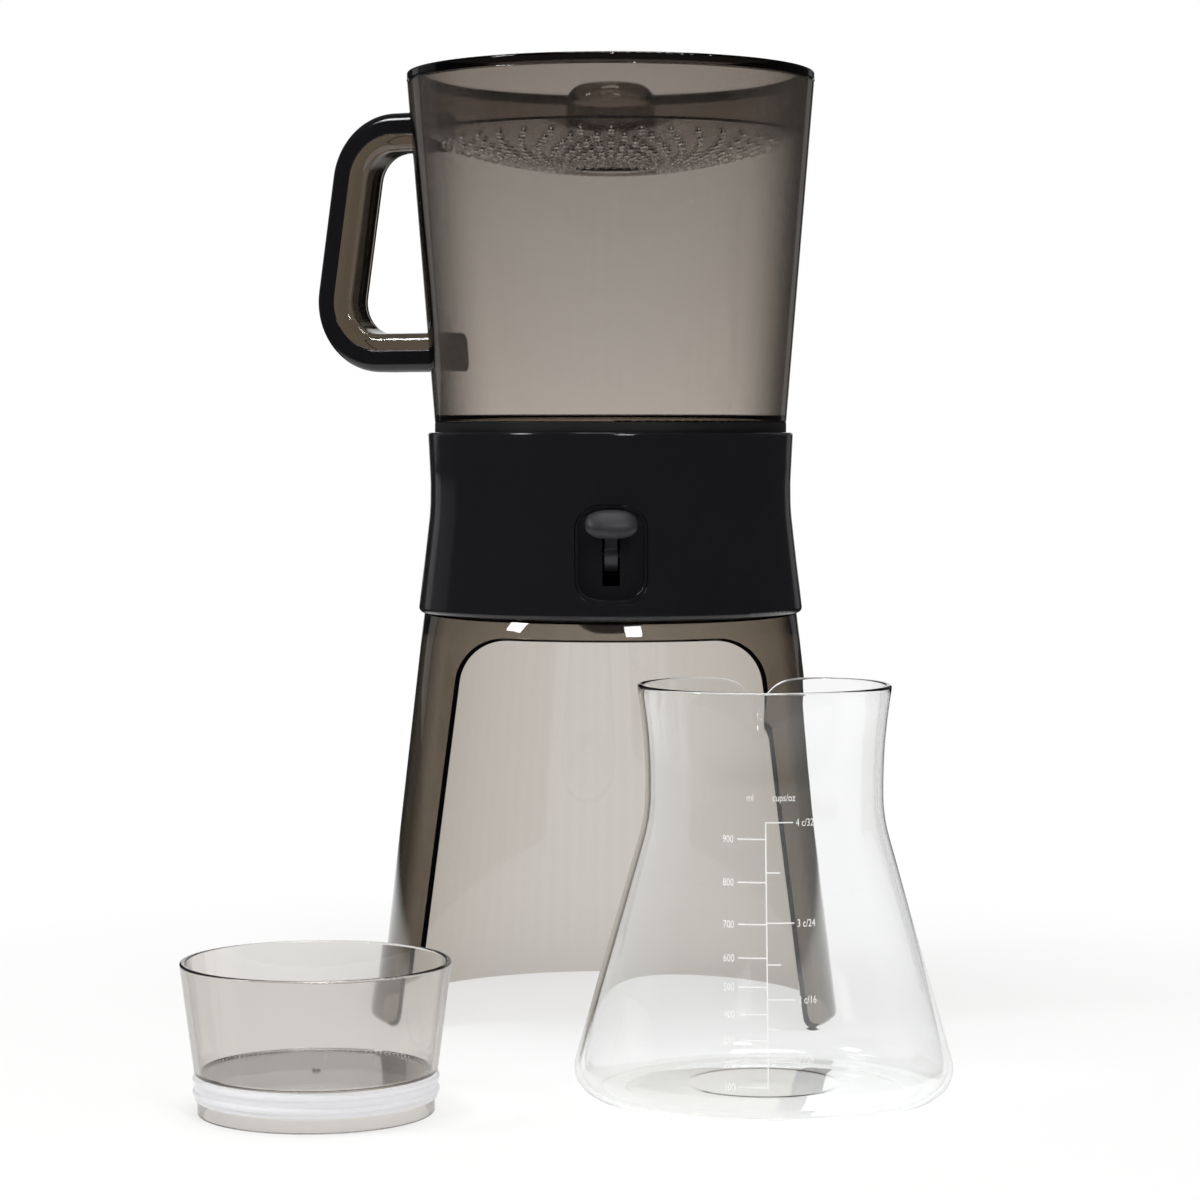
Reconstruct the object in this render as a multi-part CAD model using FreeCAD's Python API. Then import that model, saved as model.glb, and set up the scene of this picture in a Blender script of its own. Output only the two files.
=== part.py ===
import FreeCAD, Part
import math
import os

# Cold brew coffee maker: a stand, a brewer with its drip lid, filter and drain valve that lifts off the
# stand, a glass carafe and a stopper that doubles as a measuring cup. Millimetres, +Z up. Every piece is
# built about the stand's own axis, and the whole set is then moved so that the origin lies on the table,
# in the middle of the ground that the set covers.

# ---- driving dimensions: stand ----
foot_radius = 96.5            # outer radius of the skirt on the table
shoulder_radius = 77.6        # outer radius of the skirt under the collar
shoulder_height = 165.6
stand_front_wall = 5.2        # the wall thins evenly from front to back
stand_back_wall = 2.6
neck_height = 3.6             # spigot above the shoulder that the brewer drops over
neck_step = 1.5
seat_flange = 2.5             # thickness of the flange that carries the brewer
seat_hole_radius = 60.0
window_foot_half = 78.9       # half width of the front opening on the table
window_top_half = 58.6        # half width at the top, before its corners are rounded
window_height = 157.7
window_corner_radius = 20.0
foot_corner_radius = 6.0

# ---- driving dimensions: brewer's collar, base and switch ----
collar_gap = 0.4              # shadow gap between the stand's shoulder and the collar
collar_height = 74.6
collar_overhang = 2.1         # how far the collar's lower lip stands proud of the shoulder
collar_wall = 2.4
lip_rounding = 2.1
collar_ledge = 2.6            # width of the collar's top lip on the base
flank_taper = 0.1157          # how much the collar narrows for each millimetre above its lip
flank_rise = 39.5             # height at which the straight flank runs into the waist
waist_rise = 50.5             # height of the narrowest point
waist_end = 58.0              # height from which the collar widens evenly to its top
waist_end_flare = 0.2
edge_radius = 1.0
cover_thickness = 2.5
locating_ring_depth = 3.0
ring_wall = 2.5
base_flange = 3.0
bowl_wall = 2.6
bowl_fall = 10.8              # how much the bowl drops from its rim to the drain
bowl_shelf = 2.2              # level step round the bowl that the container's spigot stands on
bowl_shelf_wall = 3.4
drain_radius = 9.0            # bore of the drain boss
boss_radius = 13.0
boss_depth = 10.0
seat_ring_height = 3.5
seat_ring_bore = 8.5
seat_ring_wall = 3.4
spider_height = 3.0           # three ribs across the drain that guide the valve stem
spider_hub_radius = 5.0
spider_rib_width = 2.0
spider_angles = (90, 210, 330)
post_circle_radius = 52.0
post_radius = 4.0
post_angles = (45, 135, 225, 315)
screw_radius = 1.3
screw_head_radius = 3.2
screw_head_height = 1.8
screw_head_sink = 0.1         # how far the head's face lies inside the cover's
screw_point = 1.0
screw_depth = 11.0
switch_rise = 26.35           # height of the lever's pivot above the collar's lower edge
switch_width = 29.0
switch_height = 39.3
switch_corner_radius = 10.0
switch_wall = 1.2
switch_flange = 2.5           # how far the panel's flange laps behind the collar
switch_flange_thickness = 1.5
ear_length = 4.0
ear_wall = 2.0
leaf_thickness = 0.4
leaf_width = 4.4
leaf_root = 1.0
panel_thickness = 2.0
panel_recess = 1.3
slot_width = 6.9
slot_height = 25.1
lever_angle = 38.0            # degrees above level at which the lever points while brewing
lever_disc_radius = 7.6
lever_width = 5.3
lever_thickness = 6.0
pad_distance = 19.5           # from the pivot to the middle of the finger pad
pad_width = 21.0
pad_height = 14.0
pad_depth = 8.0
crank_radius = 5.5
crank_pin_radius = 1.25
crank_pin_reach = 3.3         # how far the crank pin stands out of the lever on each side
pivot_pin_radius = 1.5
pivot_pin_half_length = 10.5
stem_radius = 2.5
stem_foot = 1.8               # stem below the hub, with the clip on it
stem_head_radius = 5.0
stem_head_height = 2.0
clip_width = 2.1
clip_height = 1.1
hub_radius = 7.0
hub_height = 6.0
hub_drop = 14.0               # from the spider down to the top of the lifter's hub
yoke_arm_width = 8.0
yoke_side_gap = 0.4           # between the lever and each cheek of the yoke
yoke_cheek = 2.55
yoke_web = 3.4
yoke_web_gap = 0.5            # between the lever's disc and the yoke's web
yoke_below = 3.8              # yoke below and above the crank pin's middle
yoke_above = 3.6
yoke_slot_play = 0.25
yoke_slot_end = 0.35
plug_thickness = 3.0
plug_overlap = 2.3            # how far the plug covers the seat ring
plug_cone_height = 3.1
plug_cone_taper = 1.8
nozzle_radius = 16.4
nozzle_drop = 13.7            # how far the nozzle hangs below the bottom cover
nozzle_bore = 4.5
nozzle_tip = 2.5              # flat ring round the nozzle's bore
nozzle_dome = 7.0             # height of the nozzle's rounded end
nozzle_dome_bulge = (3.2, 3.1)  # a point of that rounding: in from the side, up from the tip
nozzle_floor_rise = (3.0, 9.5)  # height of the inside's sloping floor, at the bore and at the wall
funnel_mouth_radius = 30.0
funnel_rise = 17.0
funnel_wall = 2.0
funnel_foot = 2.6             # step out from the nozzle to the funnel's cone
funnel_flange = 8.0

# ---- driving dimensions: brew container, filter, handle, drip lid ----
gasket_height = 4.0
container_height = 140.4
container_bottom_radius = 73.1
container_top_radius = 84.3
container_wall = 2.4
container_floor = 2.5
drain_opening_radius = 63.0
spigot_depth = 7.6
collar_step = 1.8             # how far the collar's waist stands proud of the container's foot
waist_flare = 0.95            # how much the collar widens from the waist to its top edge
filter_ledge_width = 3.0      # ledge inside the spigot's lower end that the filter stands on
filter_ledge_height = 1.6
filter_mesh_radius = 57.2
filter_mesh_thickness = 0.5
filter_rim_width = 3.6
filter_rim_height = 1.3
filter_gasket_height = 4.3
filter_gasket_lap = 2.0       # how far the gasket's lips cover the steel rim
pull_tab_height = 4.2
pull_tab_width = 16.0
pull_tab_thickness = 1.6
pull_tab_setback = 1.0        # from the gasket's inner lip to the tab
pull_tab_rounding = 2.2
pull_eye = (9.0, 1.8, 0.85)   # width, height and corner radius of the slot in the tab
handle_angle = 154.0          # degrees from +X, seen from above
handle_top_drop = 17.0        # from the container's rim down to the middle of the upper arm
handle_bottom_rise = 30.0
grip_reach_top = 34.7         # from the container's wall out to the grip's upper corner
grip_reach_bottom = 56.3
grip_bend_radius = 22.0
handle_width = 20.0
handle_core_depth = 7.2
handle_strip_depth = 9.2
handle_corner_radius = 4.0
lid_lift = 4.0                # thickness of the drip lid's flange above the container's rim
lid_flange_radius = 84.4
lid_flange_rounding = 1.0
lid_mouth_rounding = 0.6
lid_rim_gap = 0.6             # groove between the flange and the container, outside the part that rests
lid_rim_groove = 0.8
lid_wall = 2.0
dish_depth = 37.6             # from the flange's top down to the middle of the dish
dish_sphere_radius = 224.0
dish_edge_radius = 78.3
hole_radius = 1.0
hole_outer_ring = 68.6
hole_ring_ratio = 0.9
hole_rings = 12
holes_per_ring = 36
knob_base_radius = 19.1
knob_shoulder_radius = 18.4
knob_top_radius = 10.0
knob_top_drop = 3.7           # from the flange's top down to the knob's flat top
knob_rounding = 8.0

# ---- driving dimensions: carafe and stopper cup ----
carafe_x = 55.2
carafe_y = -186.8
carafe_heel_corner = 72.2     # radius at which the cone would meet the table
carafe_slope = 0.2854         # how much the cone narrows for each millimetre of height
carafe_heel_radius = 10.0
carafe_neck_radius = 43.2
carafe_neck_bend = 60.0
carafe_flare_height = 128.0
carafe_flare_bend = 200.0
carafe_height = 149.4
carafe_rim_radius = 46.3
carafe_wall = 2.0
spout_angle = 90.0
spout_half_width = 9.5        # of the pouring notch at the rim, before its shoulders are rounded
spout_apex = 11.5             # depth at which the notch's two sides would meet
spout_throat_radius = 4.5
spout_shoulder_radius = 9.0
cup_x = -105.0
cup_y = -221.0
cup_height = 53.8
cup_rim_radius = 48.2
cup_shoulder_radius = 43.1
cup_skirt_radius = 42.0
cup_skirt_height = 14.5
cup_wall = 2.0
cup_floor = 2.0
gate_mark_radius = 1.5        # nub left by the mould's gate, in the middle of the cup's floor
gate_mark_height = 0.9
seal_bottom = 5.5
seal_thickness = 0.9
seal_ridge = 0.8
seal_ridge_heights = (8.0, 12.5)

# ---- clearances ----
fit_gap = 0.2                 # between fixed pieces that slip into each other
free_gap = 0.3                # between pieces that lift apart
running_gap = 0.06            # radial, round pins and the valve stem
rest_gap = 0.05               # under pieces that rest on another body
weld = 0.5                    # how far features of one piece run into each other

# ---- levels and radii that follow ----
seat_z = shoulder_height + neck_height
collar_z = shoulder_height + collar_gap
rim_z = collar_z + collar_height
container_z = rim_z + gasket_height
container_top_z = container_z + container_height
lid_top_z = container_top_z + lid_lift
switch_z = collar_z + switch_rise
cover_top_z = seat_z + cover_thickness
neck_radius = shoulder_radius - neck_step
lip_radius = shoulder_radius + collar_overhang
waist_radius = container_bottom_radius + collar_step
collar_top_radius = waist_radius + waist_flare
base_radius = waist_radius - collar_wall - fit_gap
collar_lip_inner = base_radius - collar_ledge
spigot_radius = drain_opening_radius + container_wall
socket_radius = spigot_radius + fit_gap
socket_z = container_z - spigot_depth - fit_gap
drain_z = socket_z - bowl_fall
boss_z = drain_z - boss_depth
seat_ring_radius = seat_ring_bore + seat_ring_wall
panel_y = panel_recess - waist_radius
pivot_y = panel_y + lever_disc_radius
hub_z = boss_z - hub_drop - hub_height
funnel_z = cover_top_z + funnel_rise
lever_up = math.radians(lever_angle)
crank_y = pivot_y + crank_radius * math.cos(lever_up)
crank_z = switch_z - crank_radius * math.sin(lever_up)
plug_z = drain_z + rest_gap

UP = FreeCAD.Vector(0, 0, 1)
AHEAD = FreeCAD.Vector(0, 1, 0)
ACROSS = FreeCAD.Vector(1, 0, 0)
ORIGIN = FreeCAD.Vector(0, 0, 0)


def container_radius(z):
    """Outer radius of the brew container at a height."""
    slope = (container_top_radius - container_bottom_radius) / container_height
    return container_bottom_radius + slope * (z - container_z)


def in_section(u, v):
    """A radius and a height as a point in the XZ plane."""
    return FreeCAD.Vector(u, 0, v)


def curve(start, *steps, place=in_section):
    """A closed wire. A step of two numbers is a straight edge, and a step of four is an arc."""
    edges = []
    here = start
    for step in steps + (start,):
        there = step[-2:]
        if len(step) == 4:
            edges.append(Part.Arc(place(*here), place(*step[:2]), place(*there)).toShape())
        elif math.dist(here, there) > 1e-6:
            edges.append(Part.LineSegment(place(*here), place(*there)).toShape())
        here = there
    return Part.Wire(edges)


def rounded(corners, place=in_section, closed=True):
    """A wire through the corners (u, v, radius) of a polygon, each rounded to its own radius."""
    count = len(corners)
    bends = []
    for index, (u, v, radius) in enumerate(corners):
        here = FreeCAD.Vector(u, v, 0)
        if radius == 0:
            bends.append((here, None, here))
            continue
        back = (FreeCAD.Vector(*corners[index - 1][:2], 0) - here).normalize()
        ahead = (FreeCAD.Vector(*corners[(index + 1) % count][:2], 0) - here).normalize()
        half = back.getAngle(ahead) / 2
        reach = radius / math.tan(half)
        middle = here + (back + ahead).normalize() * (radius / math.sin(half) - radius)
        bends.append((here + back * reach, middle, here + ahead * reach))
    edges = []
    for index, (entry, middle, leave) in enumerate(bends):
        if middle is not None:
            points = [place(p.x, p.y) for p in (entry, middle, leave)]
            edges.append(Part.Arc(*points).toShape())
        if index < count - 1 or closed:
            following = bends[(index + 1) % count][0]
            if leave.distanceToPoint(following) > 1e-6:
                ends = [place(p.x, p.y) for p in (leave, following)]
                edges.append(Part.LineSegment(*ends).toShape())
    return Part.Wire(edges)


def turned(wire):
    """The solid that a wire in the XZ plane sweeps round the Z axis."""
    return Part.Face(wire).revolve(ORIGIN, UP, 360)


def ring(inner, outer, low, high):
    """A plain ring about the Z axis."""
    return turned(curve((inner, low), (outer, low), (outer, high), (inner, high)))


def block(x_range, y_range, z_range):
    """A box between two limits on each axis."""
    corner = FreeCAD.Vector(x_range[0], y_range[0], z_range[0])
    sides = [high - low for low, high in (x_range, y_range, z_range)]
    return Part.makeBox(*sides, corner)


def along_y(wire, low, high):
    """A wire in the XZ plane made a solid that runs from one Y to another."""
    solid = Part.Face(wire).extrude(AHEAD * (high - low))
    return solid.translated(AHEAD * low)


def pin_along_x(radius, half_length, y, z):
    """A round pin across the middle plane."""
    return Part.makeCylinder(radius, 2 * half_length, FreeCAD.Vector(-half_length, y, z), ACROSS)


def oblong(width, height, radius, middle_z):
    """A rectangle with rounded corners, in the XZ plane."""
    x = width / 2
    z = height / 2
    corners = [(-x, -z), (x, -z), (x, z), (-x, z)]
    return rounded([(u, middle_z + v, radius) for u, v in corners])


# ---- stand ----

def window():
    """The front opening, open at the foot."""
    beyond = foot_radius + 20
    side = [(beyond, -5, 0), (beyond, 0, 0), (window_foot_half, 0, foot_corner_radius),
            (window_top_half, window_height, window_corner_radius)]
    corners = side + [(-u, v, r) for u, v, r in reversed(side)]
    return along_y(rounded(corners), -beyond, 0)


def stand_shell():
    """The tapered skirt with its neck and seat flange. Its inside stands back from its outside."""
    wall = (stand_front_wall + stand_back_wall) / 2
    set_back = (stand_front_wall - stand_back_wall) / 2
    outside = turned(curve(
        (0, 0), (foot_radius, 0), (shoulder_radius, shoulder_height), (neck_radius, shoulder_height),
        (neck_radius, seat_z), (0, seat_z)))
    inner_foot = foot_radius - wall
    inner_neck = neck_radius - wall
    under_flange = seat_z - seat_flange
    inside = turned(curve(
        (0, -weld), (inner_foot, -weld), (inner_foot, 0), (shoulder_radius - wall, shoulder_height - 2),
        (inner_neck, shoulder_height), (inner_neck, under_flange), (0, under_flange)))
    seat_hole = Part.makeCylinder(seat_hole_radius, seat_z + 1)
    return outside.cut([inside.translated(AHEAD * set_back), seat_hole, window()])


# ---- brewer: collar, base, cover, funnel ----

def collar_side(inset):
    """The collar's straight flank, waist and top, as steps of a profile from bottom to top."""
    lip = lip_radius - inset
    waist = waist_radius - inset
    lip_z = collar_z + lip_rounding
    flank_z = collar_z + flank_rise
    flank = (lip - flank_taper * (flank_z - lip_z), flank_z)
    waist_arc = (waist, collar_z + waist_rise, waist + waist_end_flare, collar_z + waist_end)
    top = (collar_top_radius - inset, rim_z - edge_radius)
    return (lip, lip_z), flank, waist_arc, top


def collar_solid(inset):
    """Everything inside the collar's outer surface, drawn in by an inset."""
    lip, *side = collar_side(inset)
    return turned(curve((0, collar_z), (lip[0], collar_z), lip, *side, (0, rim_z - edge_radius)))


def base_collar():
    lip, *side = collar_side(0)
    inner_lip, inner_flank, inner_waist, inner_top = collar_side(collar_wall)
    turn = edge_radius * (1 - math.sqrt(0.5))
    top_edge = (collar_top_radius - turn, rim_z - turn, collar_top_radius - edge_radius, rim_z)
    foot_turn = lip_rounding * (1 - math.sqrt(0.5))
    foot = (lip[0] - lip_rounding, collar_z)
    ledge_z = rim_z - collar_wall
    shell = turned(curve(
        foot, (lip[0] - foot_turn, collar_z + foot_turn) + lip, *side, top_edge,
        (collar_lip_inner, rim_z), (collar_lip_inner, ledge_z), (inner_top[0], ledge_z),
        inner_waist[2:], inner_waist[:2] + inner_flank, inner_lip, (inner_lip[0], collar_z)))
    opening = oblong(switch_width, switch_height, switch_corner_radius, switch_z)
    return shell.cut(along_y(opening, -lip_radius - 10, -waist_radius / 2))


def bowl_radius_span():
    """Radii at which the bowl's sloping floor starts and ends."""
    return seat_ring_radius + fit_gap / 2, socket_radius - bowl_shelf


def brew_base():
    low, high = bowl_radius_span()
    ledge_z = rim_z - collar_wall
    flange_z = ledge_z - base_flange
    counterbore_z = drain_z - seat_ring_height
    outer_high = high + bowl_shelf_wall
    bowl = turned(curve(
        (socket_radius, rim_z), (collar_lip_inner - fit_gap, rim_z),
        (collar_lip_inner - fit_gap, ledge_z), (base_radius, ledge_z), (base_radius, flange_z),
        (outer_high, flange_z), (boss_radius, drain_z - bowl_wall), (boss_radius, boss_z),
        (drain_radius, boss_z), (drain_radius, counterbore_z), (low, counterbore_z), (low, drain_z),
        (high, socket_z), (socket_radius, socket_z)))
    spider_top = boss_z + spider_height
    spider = ring(stem_radius + running_gap, spider_hub_radius, boss_z, spider_top)
    rib_length = (spider_hub_radius - weld, drain_radius + weld)
    rib = block(rib_length, (-spider_rib_width / 2, spider_rib_width / 2), (boss_z, spider_top))
    for angle in spider_angles:
        spider = spider.fuse(rib.rotated(ORIGIN, UP, angle))
    base = bowl.fuse(spider)
    slope = (flange_z - drain_z + bowl_wall) / (outer_high - boss_radius)
    reach = post_circle_radius + post_radius - boss_radius
    spot = FreeCAD.Vector(post_circle_radius, 0, cover_top_z)
    post = Part.makeCylinder(post_radius, drain_z - bowl_wall + slope * reach - cover_top_z, spot)
    post = post.cut(Part.makeCylinder(screw_radius, screw_depth, spot))
    for angle in post_angles:
        base = base.fuse(post.rotated(ORIGIN, UP, angle))
    return base.removeSplitter()


def base_screws():
    """Countersunk screws that draw the bottom cover up to the base's posts."""
    head_z = seat_z + screw_head_sink
    point_z = cover_top_z + screw_depth
    profile = curve(
        (0, head_z), (screw_head_radius, head_z), (screw_radius, head_z + screw_head_height),
        (screw_radius, point_z - screw_point), (0, point_z))
    screw = turned(profile).translated(ACROSS * post_circle_radius)
    return Part.Compound([screw.rotated(ORIGIN, UP, angle) for angle in post_angles])


def bottom_cover():
    drawn_in = flank_taper * (cover_top_z - collar_z - lip_rounding)
    outer = lip_radius - collar_wall - drawn_in - free_gap
    inner = nozzle_radius + fit_gap
    ring_outer = seat_hole_radius - free_gap
    cover = ring(inner, outer, seat_z, cover_top_z)
    locator = ring(ring_outer - ring_wall, ring_outer, seat_z - locating_ring_depth, seat_z)
    return cover.fuse(locator).cut(base_screws())


def drip_funnel():
    """Funnel with a round nozzle that looks out under the collar."""
    nozzle_z = seat_z - nozzle_drop
    bore = nozzle_radius - funnel_wall
    flange_radius = nozzle_radius + funnel_flange
    flange_z = cover_top_z + funnel_wall
    mouth = funnel_mouth_radius
    dome = (nozzle_radius - nozzle_dome_bulge[0], nozzle_z + nozzle_dome_bulge[1],
            nozzle_radius, nozzle_z + nozzle_dome)
    return turned(curve(
        (nozzle_bore, nozzle_z), (nozzle_bore + nozzle_tip, nozzle_z), dome,
        (nozzle_radius, cover_top_z), (flange_radius, cover_top_z), (flange_radius, flange_z),
        (nozzle_radius + funnel_foot, flange_z), (mouth, funnel_z), (mouth - funnel_wall, funnel_z),
        (bore, cover_top_z), (bore, nozzle_z + nozzle_floor_rise[1]),
        (nozzle_bore, nozzle_z + nozzle_floor_rise[0])))


def valve_seat():
    return ring(seat_ring_bore, seat_ring_radius, drain_z - seat_ring_height, drain_z)


# ---- brewer: switch ----

def switch_plate():
    """Recessed panel with a rim that reaches the collar's face, and two ears that hold the pivot pin."""
    def outline(inset):
        width = switch_width - 2 * inset
        return oblong(width, switch_height - 2 * inset, switch_corner_radius - inset, switch_z)

    # behind the collar's curved wall, clear of it at the flange's outer corners
    half_flange = switch_width / 2 + switch_flange
    flange_y = -math.sqrt((waist_radius - collar_wall) ** 2 - half_flange ** 2) + free_gap
    back_y = flange_y + switch_flange_thickness
    front_y = -lip_radius - 5
    edge = fit_gap * 0.75
    plate = along_y(outline(edge), front_y, back_y).common(collar_solid(fit_gap * 2))
    above_cover = block((-lip_radius, lip_radius), (flange_y, back_y), (cover_top_z + fit_gap, rim_z))
    plate = plate.fuse(along_y(outline(-switch_flange), flange_y, back_y).common(above_cover))
    plate = plate.cut(along_y(outline(edge + switch_wall), front_y, panel_y))
    plate = plate.cut(along_y(outline(edge + switch_wall), panel_y + panel_thickness, back_y))
    for side in (-1, 1):
        ear_x = sorted((side * (pivot_pin_half_length - ear_length), side * pivot_pin_half_length))
        start = FreeCAD.Vector(ear_x[0], pivot_y, switch_z)
        ear_radius = pivot_pin_radius + ear_wall
        web_z = (switch_z - ear_radius, switch_z + ear_radius)
        plate = plate.fuse(Part.makeCylinder(ear_radius, ear_length, start, ACROSS))
        plate = plate.fuse(block(ear_x, (panel_y + panel_thickness - 0.1, pivot_y), web_z))
    slot = block((-slot_width / 2, slot_width / 2), (panel_y - 1, panel_y + panel_thickness + 0.1),
                 (switch_z - slot_height / 2, switch_z + slot_height / 2))
    return plate.cut(slot).cut(pivot_pin()).removeSplitter()


def pivot_pin():
    return pin_along_x(pivot_pin_radius, pivot_pin_half_length, pivot_y, switch_z)


def detent_leaf():
    """Spring leaf on the back of the panel that rubs the lever's disc and holds it up or down."""
    top = switch_z - lever_disc_radius - free_gap
    back = panel_y + panel_thickness
    thick = (top - leaf_thickness, top)
    tongue = block((-leaf_width / 2, leaf_width / 2), (back, pivot_y + crank_radius), thick)
    root_half = slot_width / 2 + switch_flange
    root = block((-root_half, root_half), (back, back + leaf_root), thick)
    return tongue.fuse(root).removeSplitter()


def lever_tilt(shape):
    """Turns a shape drawn with the lever level to the lever's place while brewing."""
    return shape.rotated(FreeCAD.Vector(0, pivot_y, switch_z), ACROSS, -lever_angle)


def crank_pin():
    return pin_along_x(crank_pin_radius, lever_width / 2 + crank_pin_reach, crank_y, crank_z)


def switch_lever():
    """Disc on the pivot pin with an arm that widens towards the finger pad."""
    disc = pin_along_x(lever_disc_radius, lever_width / 2, pivot_y, switch_z)
    narrow = lever_width * 0.38
    wide = lever_width / 2
    tip = pivot_y - pad_distance - 1
    plan = [(-narrow, pivot_y), (narrow, pivot_y), (wide, tip), (-wide, tip)]
    face = Part.Face(Part.makePolygon([FreeCAD.Vector(x, y, switch_z) for x, y in plan + plan[:1]]))
    arm = face.extrude(UP * lever_thickness).translated(UP * (-lever_thickness / 2))
    hole = pin_along_x(pivot_pin_radius + running_gap, lever_width, pivot_y, switch_z)
    return disc.fuse(lever_tilt(arm)).cut(hole).cut(crank_pin()).removeSplitter()


def switch_pad():
    """Soft oblong finger pad moulded over the lever's tip."""
    end = FreeCAD.Vector(-pad_width / 2, pivot_y - pad_distance, switch_z)
    oval = Part.Ellipse(end + UP * (pad_height / 2), end + AHEAD * (pad_depth / 2), end)
    bar = Part.Face(Part.Wire(oval.toShape())).extrude(ACROSS * pad_width)
    front = oblong(pad_width, pad_height, pad_height / 2 - 0.2, switch_z)
    pad = bar.common(along_y(front, pivot_y - pad_distance - pad_depth, pivot_y))
    return lever_tilt(pad).cut(switch_lever())


# ---- brewer: valve lifter ----

def lifter_yoke():
    """Arm from the valve stem out to the switch, with an open slot that rides on the crank pin."""
    hub = ring(stem_radius, hub_radius, hub_z, hub_z + hub_height)
    cheek_in = lever_width / 2 + yoke_side_gap
    cheek_out = cheek_in + yoke_cheek
    web_front = pivot_y + lever_disc_radius + yoke_web_gap
    web_back = web_front + yoke_web
    foot_z = crank_z - yoke_below
    arm_z = (hub_z + 1, hub_z + hub_height - 1)
    arm = block((-yoke_arm_width / 2, yoke_arm_width / 2), (web_back - 1, 1 - hub_radius), arm_z)
    web = block((-cheek_out, cheek_out), (web_front, web_back), (foot_z, arm_z[1]))
    yoke = hub.fuse(arm).fuse(web)
    for side in (-1, 1):
        cheek_x = sorted((side * cheek_in, side * cheek_out))
        cheek_y = (crank_y - crank_pin_radius * 1.5, web_front)
        yoke = yoke.fuse(block(cheek_x, cheek_y, (foot_z, crank_z + yoke_above)))
    slot_y = (pivot_y, pivot_y + crank_radius + crank_pin_radius + yoke_slot_end)
    play = crank_pin_radius + yoke_slot_play
    slot = block((-cheek_out, cheek_out), slot_y, (crank_z - play, crank_z + play))
    bore = Part.makeCylinder(stem_radius, hub_height, FreeCAD.Vector(0, 0, hub_z))
    return yoke.cut(slot).cut(bore).removeSplitter()


def valve_stem():
    foot_z = hub_z - stem_foot
    head_z = plug_z + plug_thickness
    top_z = head_z + stem_head_height
    half = stem_head_height / 2
    turn = half * (1 - math.sqrt(0.5))
    return turned(curve(
        (0, foot_z), (stem_radius, foot_z), (stem_radius, head_z), (stem_head_radius, head_z),
        (stem_head_radius, top_z - half),
        (stem_head_radius - turn, top_z - turn, stem_head_radius - half, top_z), (0, top_z)))


def valve_plug():
    """Soft plug: a flat lip on the seat ring and a cone that centres it in the bore."""
    cone_z = plug_z - plug_cone_height
    cone_top = seat_ring_bore - fit_gap * 2
    lip = seat_ring_bore + plug_overlap
    top_z = plug_z + plug_thickness
    return turned(curve(
        (stem_radius, cone_z), (cone_top - plug_cone_taper, cone_z), (cone_top, plug_z),
        (lip, plug_z), (lip, top_z - 1), (lip - 1, top_z), (stem_radius, top_z)))


def stem_clip():
    """Push-on ring that keeps the yoke on the stem."""
    return ring(stem_radius, stem_radius + clip_width, hub_z - clip_height, hub_z)


# ---- brewer: container, handle ----

def container_gasket():
    return ring(spigot_radius + fit_gap, container_bottom_radius - 0.1, rim_z, container_z)


def brew_container():
    """Tapered tumbler whose open floor ends in a spigot with a ledge for the filter."""
    inside_z = container_z + container_floor
    foot_z = container_z - spigot_depth
    ledge_radius = drain_opening_radius - filter_ledge_width
    ledge_z = foot_z + filter_ledge_height
    return turned(rounded([
        (ledge_radius, foot_z, 0), (spigot_radius, foot_z, 0), (spigot_radius, container_z, 0),
        (container_bottom_radius, container_z, 0.8), (container_top_radius, container_top_z, 0.6),
        (container_top_radius - container_wall, container_top_z, 0.6),
        (container_radius(inside_z) - container_wall, inside_z, 0.8),
        (drain_opening_radius, inside_z, 0.8), (drain_opening_radius, ledge_z, 0),
        (ledge_radius, ledge_z, 0.3)]))


def handle_bar(inside, outside, corner_radius_inside, corner_radius_outside):
    """Bar that follows the handle's loop, between two distances from the loop's middle line."""
    turn = math.radians(handle_angle)
    outward = FreeCAD.Vector(math.cos(turn), math.sin(turn), 0)
    sideways = FreeCAD.Vector(-math.sin(turn), math.cos(turn), 0)
    top_z = container_top_z - handle_top_drop
    bottom_z = container_z + handle_bottom_rise
    root = container_bottom_radius - container_wall - 1
    corners = [(root, top_z, 0),
               (container_radius(top_z) + grip_reach_top, top_z, grip_bend_radius),
               (container_radius(bottom_z) + grip_reach_bottom, bottom_z, grip_bend_radius),
               (root, bottom_z, 0)]
    path = rounded(corners, lambda u, v: outward * u + UP * v, closed=False)
    side = handle_width / 2
    section = rounded(
        [(-side, inside, corner_radius_inside), (side, inside, corner_radius_inside),
         (side, outside, corner_radius_outside), (-side, outside, corner_radius_outside)],
        lambda u, v: outward * root + UP * top_z + sideways * u + UP * v)
    bar = path.makePipeShell([section], True, False)
    filled = turned(curve((0, container_z), (container_bottom_radius, container_z),
                          (container_top_radius, container_top_z), (0, container_top_z)))
    return bar.cut(filled)


def handle_parting():
    """Where the strip meets the core, measured from the loop's middle line."""
    return (handle_core_depth - handle_strip_depth) / 2


def handle_core():
    inside = handle_parting() - handle_core_depth
    return handle_bar(inside, handle_parting(), handle_corner_radius, 0.3)


def handle_strip():
    outside = handle_parting() + handle_strip_depth
    return handle_bar(handle_parting(), outside, 0.3, handle_corner_radius)


# ---- filter ----

def filter_level():
    """Underside of the filter's gasket, on the ledge in the container's spigot."""
    return container_z - spigot_depth + filter_ledge_height + rest_gap


def filter_mesh():
    middle = filter_level() + filter_gasket_height / 2
    half = filter_mesh_thickness / 2
    return turned(curve((0, middle - half), (filter_mesh_radius, middle - half),
                        (filter_mesh_radius, middle + half), (0, middle + half)))


def filter_rim():
    middle = filter_level() + filter_gasket_height / 2
    half = filter_rim_height / 2
    return ring(filter_mesh_radius, filter_mesh_radius + filter_rim_width, middle - half, middle + half)


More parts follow.
